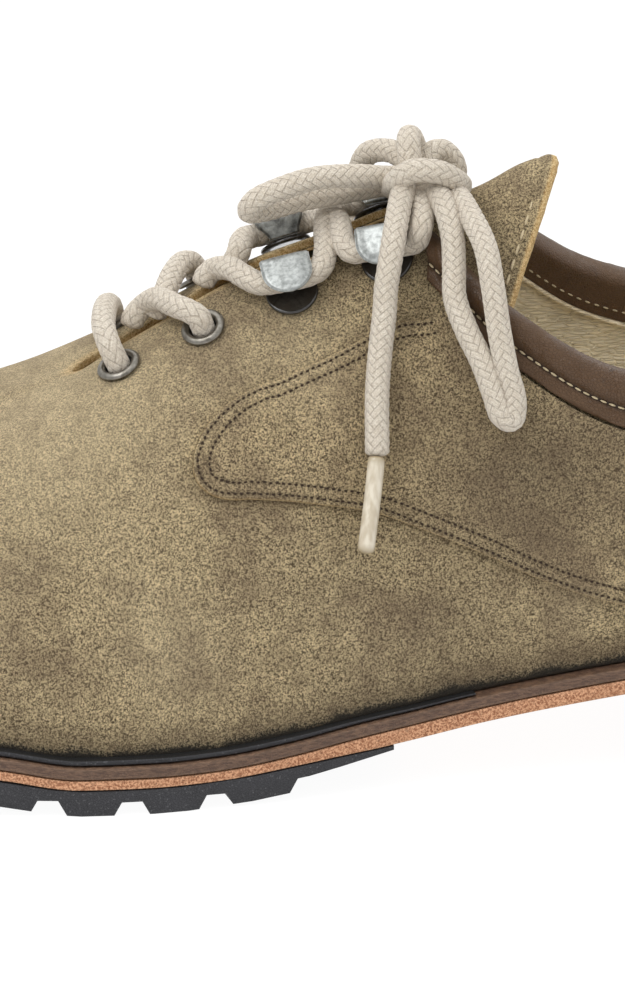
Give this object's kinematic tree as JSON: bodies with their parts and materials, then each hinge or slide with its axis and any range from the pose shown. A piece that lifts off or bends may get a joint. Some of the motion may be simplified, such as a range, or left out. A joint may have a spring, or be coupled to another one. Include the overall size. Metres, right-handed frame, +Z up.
{
  "type": "haferl shoe",
  "caption": "Low laced leather shoe for the left foot with eyelets and lace hooks, a rolled collar binding, a welted leather midsole, a lugged rubber forefoot sole and a heel.",
  "frame": {"origin": "centre of the shoe's own length and width, on the floor it stands on", "axes": "+X from toe to heel, -Y towards the outer side of the foot, +Z up"},
  "size_m": [0.303, 0.1088, 0.1144],
  "materials": {
    "suede": "rough-out nap, blotched olive brown",
    "smooth_leather": "smooth, satin dark brown",
    "midsole_leather": "rough cut edge, orange tan",
    "welt_leather": "dressed edge, brown",
    "lining": "crinkled, matt beige",
    "rubber": "matt black",
    "lace_yarn": "round braid, beige",
    "steel": "satin grey",
    "black_metal": "gloss black",
    "aglet_plastic": "clear to cream"
  },
  "bodies": {
    "root": {"outsole_forefoot": "rubber", "heel_top_piece": "rubber", "storm_rand": "rubber", "heel_lifts": "midsole_leather", "midsole": "midsole_leather", "welt": "welt_leather", "insole": "lining", "upper": "suede", "quarter_lateral": "suede", "quarter_medial": "suede", "tongue": "suede", "collar_binding": "smooth_leather", "eyelet_1_lateral": "steel", "eyelet_1_medial": "steel", "eyelet_2_lateral": "steel", "eyelet_2_medial": "steel", "hook_plate_1_lateral": "steel", "hook_plate_1_medial": "steel", "hook_plate_2_lateral": "steel", "hook_plate_2_medial": "steel", "hook_base_1_lateral": "black_metal", "hook_base_1_medial": "black_metal", "hook_base_2_lateral": "black_metal", "hook_base_2_medial": "black_metal", "lace_knot": "lace_yarn", "lace_bar": "lace_yarn", "lace_cross_eyelets": "lace_yarn", "lace_cross_hooks": "lace_yarn", "lace_loop_hanging": "lace_yarn", "lace_loop_toe": "lace_yarn", "lace_end_lateral": "lace_yarn", "lace_end_medial": "lace_yarn", "aglet_lateral": "aglet_plastic", "aglet_medial": "aglet_plastic"}
  },
  "joints": []
}
